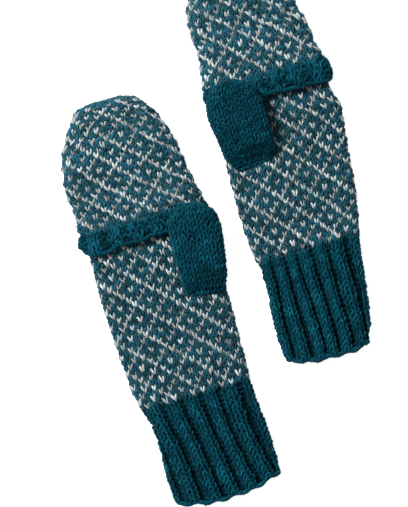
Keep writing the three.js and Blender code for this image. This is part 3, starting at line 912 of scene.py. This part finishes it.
def painted_shade_ground_material(name, dark, light, scale, share):
    mat, nt, sh = node_tree(name)
    L = nt.links.new
    pos = nt.nodes.new("ShaderNodeTexCoord")
    noise = nt.nodes.new("ShaderNodeTexNoise")
    noise.inputs["Scale"].default_value = scale
    noise.inputs["Detail"].default_value = 4.0
    L(pos.outputs["Object"], noise.inputs["Vector"])
    ramp = nt.nodes.new("ShaderNodeValToRGB")
    ramp.color_ramp.elements[0].position = 0.5 - share
    ramp.color_ramp.elements[0].color = (*dark, 1)
    ramp.color_ramp.elements[1].position = 0.5 + share
    ramp.color_ramp.elements[1].color = (*light, 1)
    L(noise.outputs["Fac"], ramp.inputs[0])
    L(ramp.outputs[0], sh.inputs["Base Color"])
    wv = nt.nodes.new("ShaderNodeTexWave")
    wv.inputs["Scale"].default_value = 170.0
    wv.inputs["Distortion"].default_value = 2.5
    L(pos.outputs["Object"], wv.inputs["Vector"])
    bump = nt.nodes.new("ShaderNodeBump")
    bump.inputs["Strength"].default_value = 0.7
    bump.inputs["Distance"].default_value = 0.0004
    L(wv.outputs["Fac"], bump.inputs["Height"])
    L(bump.outputs[0], sh.inputs["Normal"])
    sh.inputs["Roughness"].default_value = 0.95
    sh.inputs["Specular IOR Level"].default_value = 0.1
    return mat


M_TEAL = yarn_material("teal_yarn", 0.04, (0.15, 0.65, 0.85), 0.62, (0.012, 0.14, 0.20), 0.5)
M_MIX = yarn_material("teal_yarn_with_cream_fibre", 0.08, (0.4, 0.8, 1.0), 0.68, (0.12, 0.22, 0.28), 0.5)
M_CREAM = yarn_material("cream_yarn", 0.10, (1.0, 1.0, 1.0), 0.85, (0.92, 0.91, 0.90), 0.4, 0.4)
M_FIBRE = fibre_material("loose_wool_fibre")
# painted shade: the ground is painted far darker than the yarn, a dark sheet for the shade seen between stitches
M_BACK_SHADE = painted_shade_ground_material("knit_ground_teal_painted_shade", (0.0012, 0.012, 0.020), (0.003, 0.028, 0.042), 260.0, 0.12)
M_BACKMIX_SHADE = painted_shade_ground_material("knit_ground_flecked_painted_shade", (0.002, 0.014, 0.022), (0.02, 0.05, 0.065), 420.0, 0.14)


def place(name, me, mat, body, nodes, blend=None):
    me.materials.clear()
    me.materials.append(mat)
    ob = bpy.data.objects.new(name, me)
    bpy.context.scene.collection.objects.link(ob)
    if blend is None:
        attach(ob, body)
    else:
        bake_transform(ob)
    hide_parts(*nodes)
    return ob


# ---------------------------------------------------------------------------------------------------------------
# the parts
# ---------------------------------------------------------------------------------------------------------------
def rib_boundaries(tube, m, v):
    """Stitch boundaries round the cuff at height v, knit pairs wide and purl pairs narrow, following each rib."""
    ribs = m["ribs"]
    xs = np.array([np.interp(v, m["rib_y"], col) for col in np.array(m["rib_x"]).T])
    uf = tube.front_u(v, xs - OX)
    k = len(xs)
    start = uf[0] % 1.0
    rest = ribs - (k - 1)
    last = uf[-1]
    span = (start + 1.0) - last
    edges = list(uf) + [last + span * (j / rest) for j in range(1, rest + 1)]
    edges = np.array(edges)  # ribs + 1 values, the last one round again
    parts = np.array([0.0, 0.355, 0.71, 0.855])
    b = []
    for a, c in zip(edges[:-1], edges[1:]):
        b += list(a + (c - a) * parts)
    b.append(edges[-1])
    return np.array(b)


def make_cuff(side, m, tube):
    rng = rng_for(side + "_cuff")
    store = Yarn(11 if side == "right" else 12)
    N = m["ribs"] * 4
    rows = 21
    c = m["palm"]
    mid = float(np.interp(c["y"], tube.v, (tube.P[:, 0, 0] + tube.P[:, K, 0]) / 2)) + OX
    top = c["y"] - c["slope"] * (c["x"] - mid) + (c["first"] - 0.5) * c["h"]
    h = (top - 0.4) / rows
    purl = np.tile([0.0, 0.0, 1.0, 1.0], m["ribs"])
    for r in range(rows):
        v = 0.4 + h * (r + 0.5)
        ub = rib_boundaries(tube, m, v)
        late = smooth((v - 62) / 16)
        relief = 1.0 - 0.55 * late
        drop = np.tile([0.55, 0.6, -3.0, -2.7], m["ribs"]) * relief - 0.3
        drop = drop + 0.12 * rng.normal(0, 1, N)
        knit_row(store, tube, N, ub, v, h, rng, (0.002, (r + 0.02) / (rows + 2), 0.996, 0.96 / (rows + 2)), purl=purl,
                 drop=drop, radius=0.90, colour=TEAL, H=0.91, spread=0.27, depth=0.8, amount=1.4)
    ub = rib_boundaries(tube, m, 0.5)
    edge_chain(store, tube, N, 0.0, -0.6, rng, (0.002, (rows + 0.1) / (rows + 2), 0.996, 1.7 / (rows + 2)), radius=1.12,
               us=(ub[0], ub[-1]), lift=0.7, tilt=0.7)
    place(f"{side}_cuff_yarn", store.mesh(f"{side}_cuff_yarn"), M_TEAL, f"{side}_mitten", [f"{side}_cuff"])
    g = ground(f"{side}_cuff_ground", tube, 1.0, 81.0, -3.5, -4.0)
    place(f"{side}_cuff_ground", g, M_BACK_SHADE, f"{side}_mitten", [f"{side}_cuff"])


def chart_place(tube, m, key, half):
    """Where the chart sits: its column at the front's left edge, the row height there, and each as a plain number."""
    c = m[key]
    mid = float(np.interp(c["y"], tube.v, (tube.P[:, 0, 0] + tube.P[:, K, 0]) / 2)) + OX
    q = (mid - c["x"]) / c["w"] - 0.5 + 1e-9  # chart column at the middle, counted between stitches
    shift = q - half
    whole = int(round(shift))
    return whole, shift - whole, c["y"] - c["slope"] * (c["x"] - mid), mid


def row_heights(tube, c, ub, v, mid, N):
    """The row's height at each stitch: rows run slightly downhill or uphill across the mitten."""
    centre = (ub[:-1] + ub[1:]) / 2
    p, _ = tube.at(centre, np.full(N, v), 0.0)
    return v + c["slope"] * (p[:, 0] + OX - mid)


def make_hand(side, m, tube):
    rng = rng_for(side + "_hand")
    c = m["palm"]
    N = 48
    whole, frac, v0, mid = chart_place(tube, m, "palm", N // 4)
    low, high, cream = Yarn(21), Yarn(22), Yarn(23)
    rows = c["last"] - c["first"] + 1
    split = c["first"] + rows // 2
    for r in range(c["first"], c["last"] + 1):
        v = v0 + r * c["h"]
        lean = c["lean"] * (v - c["y"]) / c["w"]
        ub = (np.arange(N + 1) - frac + lean) / N
        white = is_cream(np.arange(N) + whole + 1, r) * (1.0 if r < c["last"] else 0.0)
        row = r - c["first"]
        vv = v + (row_heights(tube, c, ub, v, mid, N) - v) * smooth((v - 78) / 30)
        # TEAL_MIX * 0.86: the palm's yarn is painted darker than the cap's, a painted shade
        knit_row(low if r < split else high, tube, N, ub, vv, c["h"], rng,
                 (0.002, (row + 0.02) / rows, 0.996, 0.96 / rows), radius=0.78, colour=TEAL_MIX * 0.86,
                 cream=white, cream_store=cream, H=0.92, spread=0.29, depth=0.8, amount=1.7, cream_radius=0.68)
    body, nodes = f"{side}_mitten", [f"{side}_hand"]
    place(f"{side}_hand_yarn_low", low.mesh(f"{side}_hand_yarn_low"), M_MIX, body, nodes)
    place(f"{side}_hand_yarn_high", high.mesh(f"{side}_hand_yarn_high"), M_MIX, body, nodes)
    place(f"{side}_hand_cream", cream.mesh(f"{side}_hand_cream"), M_CREAM, body, nodes)
    g = ground(f"{side}_hand_ground", tube, 80.0, 205.6, -1.4, -1.95)
    place(f"{side}_hand_ground", g, M_BACKMIX_SHADE, body, nodes)


def make_cap(side, m, tube):
    rng = rng_for(side + "_cap")
    c = m["top"]
    low, high, cream = Yarn(31), Yarn(32), Yarn(33)
    whole, frac, v0, mid = chart_place(tube, m, "top", 12)
    vmax = tube.v[-1]
    rows = []
    r = c["first"]
    v = v0 + r * c["h"]
    while v < vmax - 0.8:
        close = c["h"] * (1 - 0.34 * float(smooth((v - 280) / 12)))
        rows.append((r, v, close))
        v += close
        r += 1
    split = rows[len(rows) // 2][0]
    total = len(rows) + 1
    for k, (r, v, high_) in enumerate(rows):
        j = np.interp(v, tube.v, np.arange(len(tube.v)))
        lf = np.interp(j, np.arange(len(tube.lf)), tube.lf)
        nf = 24 if v < 255 else min(24, max(4, 2 * int(round(lf / c["w"] / 2 + 0.05))))
        half = nf // 2
        lean = c["lean"] * (v - c["y"]) / c["w"] * (1.0 if v < 262 else 0.6)
        shift = (lean - frac) if nf == 24 else (lean - frac) * 0.5
        N = 2 * nf
        ub = (np.arange(N + 1) + shift) / N
        cols = np.concatenate([np.arange(-half, half) + whole + 13, np.arange(-half, half) + whole + 37])
        white = is_cream(cols, r)
        if v > vmax - 3.5:
            white[:] = 0.0
        vv = row_heights(tube, c, ub, v, mid, N)
        vv = v + (vv - v) * smooth((vmax - v) / 25)
        white = np.where((vv < m["hem"][0][0] + m["hem_lift"] + 15.6) & (np.arange(N) < nf), 0.0, white)
        # TEAL_MIX * 1.08: the cap's yarn is painted lighter than the palm's, a painted light on the raised cap
        knit_row(low if r < split else high, tube, N, ub, vv, high_, rng,
                 (0.002, (k + 0.02) / total, 0.996, 0.96 / total), radius=0.80, colour=TEAL_MIX * 1.08, cream=white,
                 cream_store=cream, H=0.92, spread=0.29, depth=0.8, amount=1.8, cream_radius=0.74)
    body, nodes = f"{side}_flip_cap", [f"{side}_cap"]
    if side == "right":
        # the fastened-off yarn end shows as a small lump at the crown
        knot(high, tube, float(tube.front_u(np.array(284.5), np.array(81.8 - OX))), 284.5, rng, (0.01, (total - 0.9) / total, 0.2, 0.8 / total))
    place(f"{side}_cap_yarn_low", low.mesh(f"{side}_cap_yarn_low"), M_MIX, body, nodes)
    place(f"{side}_cap_yarn_high", high.mesh(f"{side}_cap_yarn_high"), M_MIX, body, nodes)
    place(f"{side}_cap_cream", cream.mesh(f"{side}_cap_cream"), M_CREAM, body, nodes)
    g = ground(f"{side}_cap_ground", tube, 206.5, vmax, -1.4, -1.95)
    place(f"{side}_cap_ground", g, M_BACKMIX_SHADE, body, nodes)


def knot(store, tube, u, v, rng, cell):
    p, n = tube.at(np.array([u]), np.array([v]), np.array([1.2]))
    q = np.arange(40) / 39
    a = q * 4.6 * np.pi
    side_ = np.array([0.9, -0.35, 0.0])
    up = np.array([0.35, 0.9, 0.0])
    c = (p + np.outer(np.cos(a) * 1.7, side_) + np.outer(np.sin(a) * 0.9, up) + n * (0.9 * np.sin(a * 0.5 + 0.4))[:, None])
    store.run(c, np.repeat(n, 40, 0), np.full(40, 0.8), np.tile(TEAL * 0.8, (40, 1)), q * 30, cell)


def make_hem(side, m, tube):
    rng = rng_for(side + "_hem")
    store = Yarn(41)
    us = (-0.035, 0.535)
    N = 30
    h = 3.3
    rows = 4
    purl = (np.arange(N) % 4 >= 2).astype(float)
    slack = rng.normal(0, 1, (rows + 1, N))
    for r in range(rows):
        v = 1.2 + h * (r + 0.5) + 0.25 * rng.normal(0, 1, N)
        wide = np.clip(1 + 0.16 * rng.normal(0, 1, N), 0.6, 1.5) * np.where(purl > 0, 0.86, 1.14)
        ub = us[0] + (us[1] - us[0]) * np.concatenate([[0], np.cumsum(wide)]) / wide.sum()
        drop = np.where(purl > 0, -0.7, 0.2) + 0.16 * slack[r] + 0.10 * slack[r + 1]
        if side == "right":
            drop[6:8] -= 0.45
        # the hem's yarn (TEAL * 1.18) and its cast-off chain (TEAL * 1.1) are painted lighter than the cuff's same
        # yarn: painted light on the raised band
        knit_row(store, tube, N, ub, v, h, rng, (0.002, (r + 0.02) / (rows + 3), 0.996, 0.96 / (rows + 3)), purl=purl,
                 drop=drop, radius=0.94, colour=TEAL * 1.18, open_ends=True, H=0.98, spread=0.27, depth=0.75, amount=1.9)
    edge_chain(store, tube, N, 0.3, 0.4, rng, (0.002, (rows + 0.1) / (rows + 3), 0.996, 1.6 / (rows + 3)), radius=0.86,
               colour=TEAL * 1.1, closed=False, us=us, lift=0.6, tilt=0.7)
    body, nodes = f"{side}_flip_cap", [f"{side}_cap_hem"]
    place(f"{side}_hem_yarn", store.mesh(f"{side}_hem_yarn"), M_TEAL, body, nodes)
    g = ground(f"{side}_hem_ground", tube, 0.6, 15.0, -1.7, -2.2, us=us)
    place(f"{side}_hem_ground", g, M_BACK_SHADE, body, nodes)


def make_thumb(side, m, tube):
    rng = rng_for(side + "_thumb")
    store = Yarn(51)
    h = m["thumb_row"]
    vmax = tube.v[-1]
    total = int((vmax - 0.6) / h) + 2
    N0 = m["thumb_stitches"]
    w = (tube.lf + tube.lb).max() / N0
    r = 0
    while True:
        v = 1.2 + h * (r + 0.5)
        if v > vmax - 0.5:
            break
        j = np.interp(v, tube.v, np.arange(len(tube.v)))
        per = np.interp(j, np.arange(len(tube.lf)), tube.lf + tube.lb)
        N = N0 if per > N0 * w * 0.80 else max(5, int(round(per / w * 1.1)))
        ub = np.arange(N + 1) / N
        # painted shade on the whole thumb, painted light on its lowest rows where the foot slopes away from the key
        # light
        base, reach = m["thumb_base_painted_light"]
        painted_light_and_shade = m["thumb_painted_shade"] * (1 + base * (1 - smooth((v - reach + 17) / 17)))
        knit_row(store, tube, N, ub, v, h, rng, (0.002, (r + 0.02) / total, 0.996, 0.96 / total), radius=0.92,
                 colour=TEAL * painted_light_and_shade, H=1.0, spread=0.26, depth=0.85, amount=1.5)
        r += 1
    body, nodes = f"{side}_thumb_tube", [f"{side}_thumb"]
    place(f"{side}_thumb_yarn", store.mesh(f"{side}_thumb_yarn"), M_TEAL, body, nodes)
    g = ground(f"{side}_thumb_ground", tube, 0.4, vmax, -1.4, -1.9)
    place(f"{side}_thumb_ground", g, M_BACK_SHADE, body, nodes)


def make_sleeves(side, m):
    out = []
    for k, (name, length) in enumerate(m["sleeves"]):
        tube = sleeve_tube(side, m, k, length)
        rng = rng_for(side + name)
        store = Yarn(61 + k)
        end = 210.7 + length
        N, h = 12, 3.7
        rows = int((end - 204.6) / h)
        start = end - 1.2 - rows * h
        for r in range(rows):
            v = start + h * (r + 0.5)
            knit_row(store, tube, N, np.arange(N + 1) / N, v, h, rng,
                     (0.002, (r + 0.02) / (rows + 2), 0.996, 0.96 / (rows + 2)), radius=0.82, colour=TEAL, H=0.9,
                     spread=0.26, depth=0.4, seg=10)
        edge_chain(store, tube, N, end - 0.9, 0.0, rng, (0.002, (rows + 0.1) / (rows + 2), 0.996, 1.6 / (rows + 2)),
                   radius=0.72, lift=0.35, tilt=0.4)
        nodes = [f"{side}_{name}_sleeve"]
        place(f"{side}_{name}_sleeve_yarn", store.mesh(f"{side}_{name}_sleeve_yarn"), M_TEAL, f"{side}_mitten", nodes)
        g = ground(f"{side}_{name}_sleeve_ground", tube, 204.0, end - 1.0, -0.55, -1.0)
        place(f"{side}_{name}_sleeve_ground", g, M_BACK_SHADE, f"{side}_mitten", nodes)
        out.append(tube)
    return out


def make_seam(side, m, lower, cap):
    """The picked-up stitches that hold the cap to the back of the hand."""
    rng = rng_for(side + "_seam")
    store = Yarn(71)
    N = 24
    wy = m["wrist"] - OY
    xl = float(np.interp(205.0, lower.v, lower.P[:, 0, 0])) + 3.5
    xr = float(np.interp(205.0, lower.v, lower.P[:, K, 0])) - 3.5
    for k in range(N):
        x = xl + (xr - xl) * (k + 0.5) / N
        w = (xr - xl) / N
        q = np.arange(25) / 24
        a = 2 * np.pi * q
        c = np.stack([x + w * 0.33 * np.sin(a) * (1 + 0.1 * rng.normal()), wy + 207.6 - 2.9 * np.cos(a),
                      1.15 - 0.25 * np.sin(a * 2)], 1)
        n = np.tile([0.0, 0.0, -1.0], (24, 1))
        store.run(c[:24], n, np.full(24, 0.72), np.tile(tint(rng, TEAL_MIX, 1), (24, 1)), q[:24] * 20,
                  ((k + 0.02) / N, 0.02, 0.96 / N, 0.45), True)
    # a strand along the join
    q = np.arange(200) / 199
    c = np.stack([xl + (xr - xl) * q, wy + 207.8 + 0.5 * np.sin(q * 190), 1.3 + 0.25 * np.cos(q * 190)], 1)
    store.run(c, np.tile([0.0, 0.0, -1.0], (200, 1)), np.full(200, 0.75), np.tile(TEAL_MIX, (200, 1)), q * 90,
              (0.01, 0.55, 0.98, 0.4))
    me = store.mesh(f"{side}_seam_yarn")
    place(f"{side}_seam_yarn", me, M_MIX, None, [f"{side}_cap_seam"],
          blend=(f"{side}_mitten", f"{side}_flip_cap", (0.0, (wy + 205.2) * MM, 0.0012), (0.0, (wy + 210.2) * MM, 0.0012)))


def clump_places(tube, c, rng, v_lo, v_hi, count):
    """u and v round the white stitches, some of them much more than others: there the two yarns mat together."""
    u0 = float(tube.front_u(np.array(c["y"]), np.array(c["x"] - OX)))
    col, row = np.meshgrid(np.arange(-30, 31), np.arange(-40, 41))
    bold = is_cream(col, row)
    v = c["y"] + row * c["h"]
    keep = (bold > 0) & (v > v_lo) & (v < v_hi)
    u = (u0 + col / 48.0)[keep]
    v = v[keep]
    weight = bold[keep] * np.minimum(np.exp(rng.normal(0, 1.0, keep.sum())), 4.0)
    pick = rng.choice(len(u), count, p=weight / weight.sum())
    return u[pick] + rng.normal(0, 0.0125, count), v[pick] + rng.normal(0, 1.75, count)


def rib_tops(tube, m, rng, count, v_lo, v_hi):
    """u and v on the raised knit columns of the cuff."""
    v = rng.uniform(v_lo, v_hi, count)
    levels = np.linspace(0.0, 80.0, 33)
    edges = np.array([rib_boundaries(tube, m, x) for x in levels])
    rib = rng.integers(0, m["ribs"], count) * 4
    at = np.clip(v / 2.5, 0, 31.999)
    i, f = at.astype(int), at - at.astype(int)
    a = edges[i, rib] * (1 - f) + edges[i + 1, rib] * f
    b = edges[i, rib + 2] * (1 - f) + edges[i + 1, rib + 2] * f
    return a + (b - a) * rng.uniform(0.06, 0.94, count), v


def make_fuzz(side, m, lower, cap, hem, thumb):
    rng = rng_for(side + "_fuzz")
    teal, pale = TEAL * 1.1, np.array([0.42, 0.54, 0.57])
    mid = np.array([0.06, 0.19, 0.26])
    k = 1.0
    solid = ([teal, TEAL * 0.5, np.array([0.012, 0.15, 0.20])], [0.58, 0.34, 0.08])
    mixed = ([teal, TEAL * 0.5, mid, pale], [0.40, 0.36, 0.14, 0.10])
    hazy = ([teal, TEAL * 0.5, mid, pale], [0.34, 0.28, 0.21, 0.17])
    n = lambda c: int(c * k)
    flip, mitt = f"{side}_flip_cap", f"{side}_mitten"
    on_u, on_v = rib_tops(lower, m, rng, n(12000), 0.5, 78.0)
    long_u, long_v = rib_tops(lower, m, rng, n(4500), -0.5, 80.0)
    for name, body, nodes, slot, picks in [
        ("cuff", mitt, [f"{side}_cuff"], "rib_knit", (lower, n(12000), on_u, on_v, *solid, 1.4, 0.95)),
        ("hand", mitt, [f"{side}_hand"], "flecked_knit", (lower, n(26000), (0, 1), (79, 205), *mixed, 1.6, 0.95)),
        ("cap", flip, [f"{side}_cap"], "flecked_knit", (cap, n(24000), (0, 1), (207, cap.v[-1] - 0.5), *hazy, 1.7, 0.95)),
        ("hem", flip, [f"{side}_cap_hem"], "teal_knit", (hem, n(7000), (-0.03, 0.53), (0, 16), *solid, 1.6, 0.85)),
        ("thumb", f"{side}_thumb_tube", [f"{side}_thumb"], "teal_knit",
         (thumb, n(6000), (0, 1), (0.5, thumb.v[-1] - 0.5), *solid, 1.4, 0.8)),
    ]:
        more = []
        if name in ("hand", "cap"):
            tube, chart = (lower, m["palm"]) if name == "hand" else (cap, m["top"])
            count = n(21000)
            u, v = clump_places(tube, chart, rng, picks[3][0] + 3, picks[3][1] - 3, count)
            more = [(tube, count, u, v, [pale, mid, pale * 0.6], [0.55, 0.15, 0.30], 1.5, 1.45)]
        place(f"{side}_{name}_fluff", fluff(f"{side}_{name}_fluff", [picks] + more, rng), M_FIBRE, body, nodes)
    me = fibres(f"{side}_mitten_fibre", [
        (lower, n(4500), long_u, long_v, *solid, 2.2, 0.95),
        (lower, n(9000), (0, 1), (79, 205), *mixed, 3.0, 0.95)], rng)
    place(f"{side}_mitten_fibre", me, M_FIBRE, mitt, [f"{side}_hand", f"{side}_cuff"])
    me = fibres(f"{side}_cap_fibre", [
        (cap, n(9000), (0, 1), (207, cap.v[-1] - 0.5), *hazy, 3.0, 0.95),
        (hem, n(1500), (-0.03, 0.53), (-0.5, 16), *solid, 2.4, 0.9)], rng)
    place(f"{side}_cap_fibre", me, M_FIBRE, flip, [f"{side}_cap", f"{side}_cap_hem"])
    me = fibres(f"{side}_thumb_fibre", [(thumb, n(2500), (0, 1), (0.5, thumb.v[-1] - 0.5), *solid, 2.2, 0.8)], rng)
    place(f"{side}_thumb_fibre", me, M_FIBRE, f"{side}_thumb_tube", [f"{side}_thumb"])


for side, m in MITTENS.items():
    lower = lower_tube(side, m)
    cap = cap_tube(side, m)
    hem = hem_tube(side, m)
    thumb = thumb_tube(side, m)
    make_cuff(side, m, lower)
    make_hand(side, m, lower)
    make_cap(side, m, cap)
    make_hem(side, m, hem)
    make_thumb(side, m, thumb)
    make_sleeves(side, m)
    make_seam(side, m, lower, cap)
    make_fuzz(side, m, lower, cap, hem, thumb)

# ---------------------------------------------------------------------------------------------------------------
# floor, light, camera
# ---------------------------------------------------------------------------------------------------------------
fm, nt, sh = node_tree("pale_floor")
pos = nt.nodes.new("ShaderNodeTexCoord")
noise = nt.nodes.new("ShaderNodeTexNoise")
noise.inputs["Scale"].default_value = 6.0
nt.links.new(pos.outputs["Object"], noise.inputs["Vector"])
ramp = nt.nodes.new("ShaderNodeValToRGB")
ramp.color_ramp.elements[0].color = (0.93, 0.93, 0.93, 1)
ramp.color_ramp.elements[1].color = (0.95, 0.95, 0.95, 1)
nt.links.new(noise.outputs["Fac"], ramp.inputs[0])
nt.links.new(ramp.outputs[0], sh.inputs["Base Color"])
sh.inputs["Roughness"].default_value = 0.9
sh.inputs["Specular IOR Level"].default_value = 0.0
sh.inputs["Emission Color"].default_value = (1, 1, 1, 1)
sh.inputs["Emission Strength"].default_value = 0.85
me = bpy.data.meshes.new("floor")
S = 6.0
me.from_pydata([(-S, -S, -0.0005), (S, -S, -0.0005), (S, S, -0.0005), (-S, S, -0.0005)], [], [(0, 1, 2, 3)])
me.materials.append(fm)
floor = bpy.data.objects.new("floor", me)
bpy.context.scene.collection.objects.link(floor)

RIGHT = np.array([0.959, -0.284, 0.0])
UP = np.array([0.284, 0.959, 0.0])

world = bpy.data.worlds.new("studio")
bpy.context.scene.world = world
world.use_nodes = True
bg = world.node_tree.nodes["Background"]
bg.inputs["Color"].default_value = (1, 1, 1, 1)
bg.inputs["Strength"].default_value = 0.22


def sun(name, direction, strength, angle):
    """direction: from the object to the light."""
    from mathutils import Vector
    light = bpy.data.lights.new(name, "SUN")
    light.energy = strength
    light.angle = angle
    ob = bpy.data.objects.new(name, light)
    ob.rotation_mode = "QUATERNION"
    ob.rotation_quaternion = Vector(direction).to_track_quat("Z", "Y")
    bpy.context.scene.collection.objects.link(ob)


d = -RIGHT * 0.85 + UP * 0.62 + np.array([0, 0, 0.80])
sun("key", d, 3.6, math.radians(16))

cam = bpy.data.cameras.new("camera")
co = bpy.data.objects.new("camera", cam)
bpy.context.scene.collection.objects.link(co)
DIST = 3.0
cam.sensor_width = 36.0
cam.lens = 36.0 * DIST / 0.3726
cam.clip_start, cam.clip_end = 0.1, 20.0
from mathutils import Matrix, Vector

rot = Matrix((RIGHT / np.linalg.norm(RIGHT), UP / np.linalg.norm(UP), (0, 0, 1))).transposed()
co.matrix_world = Matrix.Translation(Vector((-0.0209, -0.01405, DIST + 0.012))) @ rot.to_4x4()
bpy.context.scene.camera = co
bpy.context.scene.view_settings.view_transform = "Standard"
bpy.context.scene.view_settings.look = "None"
bpy.context.scene.view_settings.exposure = 0.0
bpy.context.scene.view_settings.gamma = 1.0
